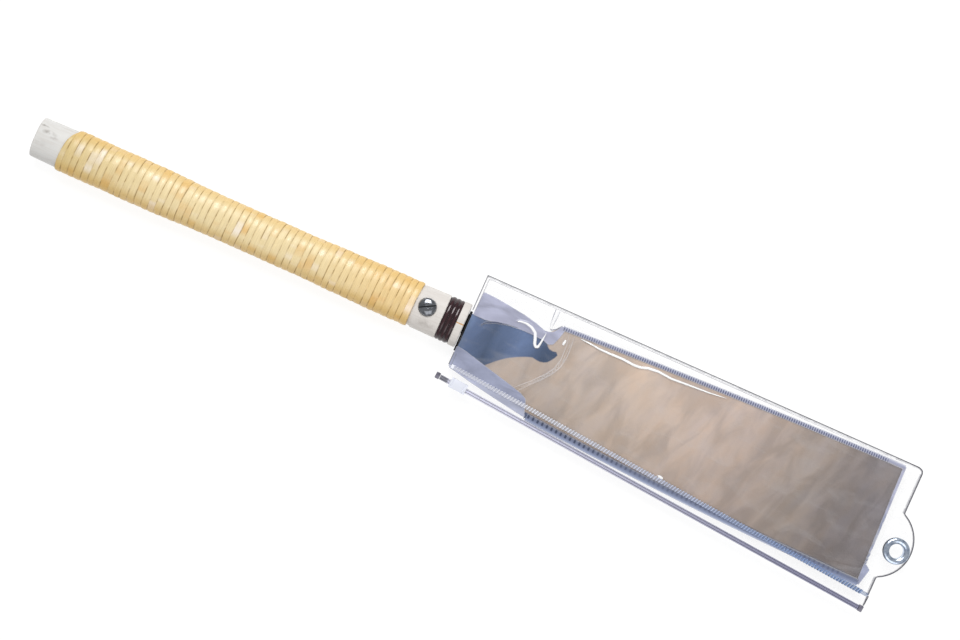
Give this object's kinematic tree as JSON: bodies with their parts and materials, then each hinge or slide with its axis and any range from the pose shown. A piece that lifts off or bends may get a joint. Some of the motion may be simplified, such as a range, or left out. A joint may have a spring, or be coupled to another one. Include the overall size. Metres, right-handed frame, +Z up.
{
  "type": "japanese crosscut saw",
  "caption": "Japanese pull saw toothed on both edges, its blade clamped by a screw in a rattan-wound handle and kept in a clear zip sleeve with a hang eyelet.",
  "frame": {"origin": "under the middle of the whole saw, on the surface that the wound grip lies on", "axes": "+X along the handle from butt to toe, +Y across the blade towards the fine teeth, +Z up, square to the blade"},
  "size_m": [0.645, 0.1044, 0.0254],
  "materials": {
    "pale_wood": "smooth, waxed",
    "rattan": "split cane, semi-gloss",
    "lacquer": "lacquered cane, gloss",
    "nickel": "nickel plate, polished",
    "saw_steel": "satin, ground",
    "clear_vinyl": "clear, gloss",
    "welded_vinyl": "clear, ribbed",
    "zip_vinyl": "clear, satin",
    "slider_plastic": "moulded, satin"
  },
  "bodies": {
    "handle": {"handle_core": "pale_wood", "rattan_wrap": "rattan", "nose_whipping": "lacquer", "clamp_nut": "nickel"},
    "screw": {"clamp_screw": "nickel"},
    "blade": {"saw_blade": "saw_steel"},
    "sleeve": {"sleeve_upper_sheet": "clear_vinyl", "sleeve_under_sheet": "clear_vinyl", "top_weld": "welded_vinyl", "end_weld_above_tab": "welded_vinyl", "end_weld_below_tab": "welded_vinyl", "zip_strip_upper": "zip_vinyl", "zip_strip_under": "zip_vinyl", "seal_band_upper": "welded_vinyl", "seal_band_under": "welded_vinyl", "zip_stop_mouth": "zip_vinyl", "zip_stop_end": "zip_vinyl", "eyelet": "nickel", "eyelet_washer": "nickel"},
    "slider": {"zip_slider": "slider_plastic"}
  },
  "joints": [
    {"name": "clamp_screw_turn", "type": "hinge", "parent": "handle", "child": "screw", "pos_m": [-0.03882, 0.0164, 0.0116], "axis": [0, 0, 1], "range_deg": [0, 720]},
    {"name": "blade_draw", "type": "slide", "parent": "handle", "child": "blade", "axis": [1, 0, 0], "range_m": [0, 0.05]},
    {"name": "sleeve_shift", "type": "slide", "parent": "blade", "child": "sleeve", "axis": [0.9976, -0.0698, 0], "range_m": [0, 0.02]},
    {"name": "zip_run", "type": "slide", "parent": "sleeve", "child": "slider", "axis": [0.9964, -0.085, 0], "range_m": [-0.007, 0.298]}
  ]
}
